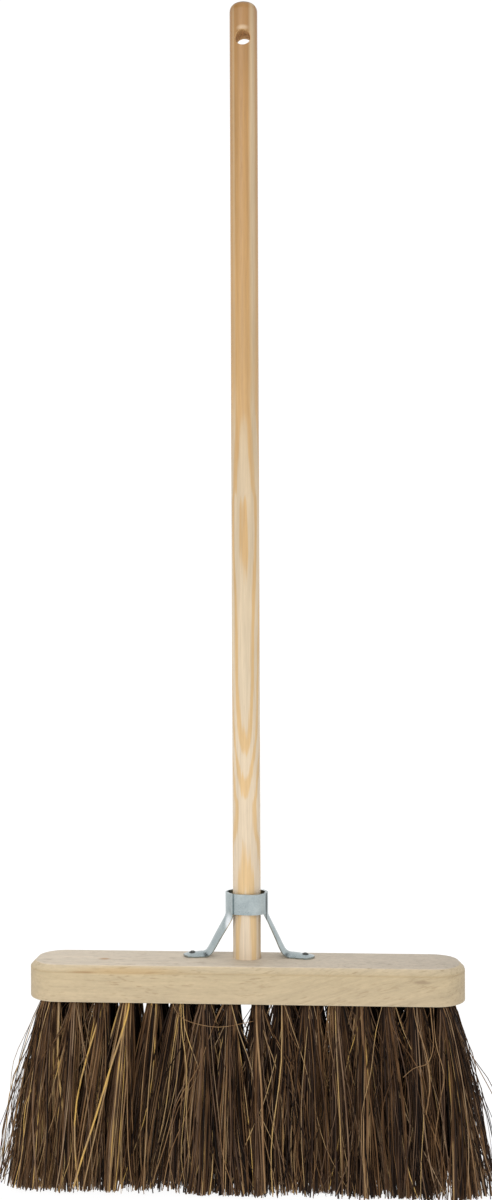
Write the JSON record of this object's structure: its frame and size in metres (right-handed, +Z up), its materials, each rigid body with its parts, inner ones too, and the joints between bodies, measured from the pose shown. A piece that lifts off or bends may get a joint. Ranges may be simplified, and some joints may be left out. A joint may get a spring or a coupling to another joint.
{
  "type": "push broom",
  "caption": "Upright push broom: round handle with a hanging hole, wooden stock, pressed steel stay and long stiff natural-fibre bristles.",
  "frame": {"origin": "on the floor under the middle of the stock, level with the bristle tips", "axes": "+X along the stock, -Y out of the front face, +Z up along the handle"},
  "size_m": [0.4792, 0.1092, 1.244],
  "materials": {
    "handle_wood": "satin",
    "stock_wood": "matte",
    "stay_steel": "satin",
    "screw_steel": "satin",
    "staple_wire": "satin",
    "bass_fibre": "matte"
  },
  "bodies": {
    "root": {"handle": "handle_wood", "stock": "stock_wood", "stay_left": "stay_steel", "stay_right": "stay_steel", "stay_foot_screws": "screw_steel", "stay_collar_screw": "screw_steel", "tuft_staples": "staple_wire", "tuft_front_01": "bass_fibre", "tuft_front_02": "bass_fibre", "tuft_front_03": "bass_fibre", "tuft_front_04": "bass_fibre", "tuft_front_05": "bass_fibre", "tuft_front_06": "bass_fibre", "tuft_front_07": "bass_fibre", "tuft_front_08": "bass_fibre", "tuft_front_09": "bass_fibre", "tuft_front_10": "bass_fibre", "tuft_front_11": "bass_fibre", "tuft_front_12": "bass_fibre", "tuft_front_13": "bass_fibre", "tuft_front_14": "bass_fibre", "tuft_front_15": "bass_fibre", "tuft_front_16": "bass_fibre", "tuft_middle_01": "bass_fibre", "tuft_middle_02": "bass_fibre", "tuft_middle_03": "bass_fibre", "tuft_middle_04": "bass_fibre", "tuft_middle_05": "bass_fibre", "tuft_middle_06": "bass_fibre", "tuft_middle_07": "bass_fibre", "tuft_middle_08": "bass_fibre", "tuft_middle_09": "bass_fibre", "tuft_middle_10": "bass_fibre", "tuft_middle_11": "bass_fibre", "tuft_middle_12": "bass_fibre", "tuft_middle_13": "bass_fibre", "tuft_middle_14": "bass_fibre", "tuft_middle_15": "bass_fibre", "tuft_middle_16": "bass_fibre", "tuft_back_01": "bass_fibre", "tuft_back_02": "bass_fibre", "tuft_back_03": "bass_fibre", "tuft_back_04": "bass_fibre", "tuft_back_05": "bass_fibre", "tuft_back_06": "bass_fibre", "tuft_back_07": "bass_fibre", "tuft_back_08": "bass_fibre", "tuft_back_09": "bass_fibre", "tuft_back_10": "bass_fibre", "tuft_back_11": "bass_fibre", "tuft_back_12": "bass_fibre", "tuft_back_13": "bass_fibre", "tuft_back_14": "bass_fibre", "tuft_back_15": "bass_fibre", "tuft_back_16": "bass_fibre"}
  },
  "joints": []
}
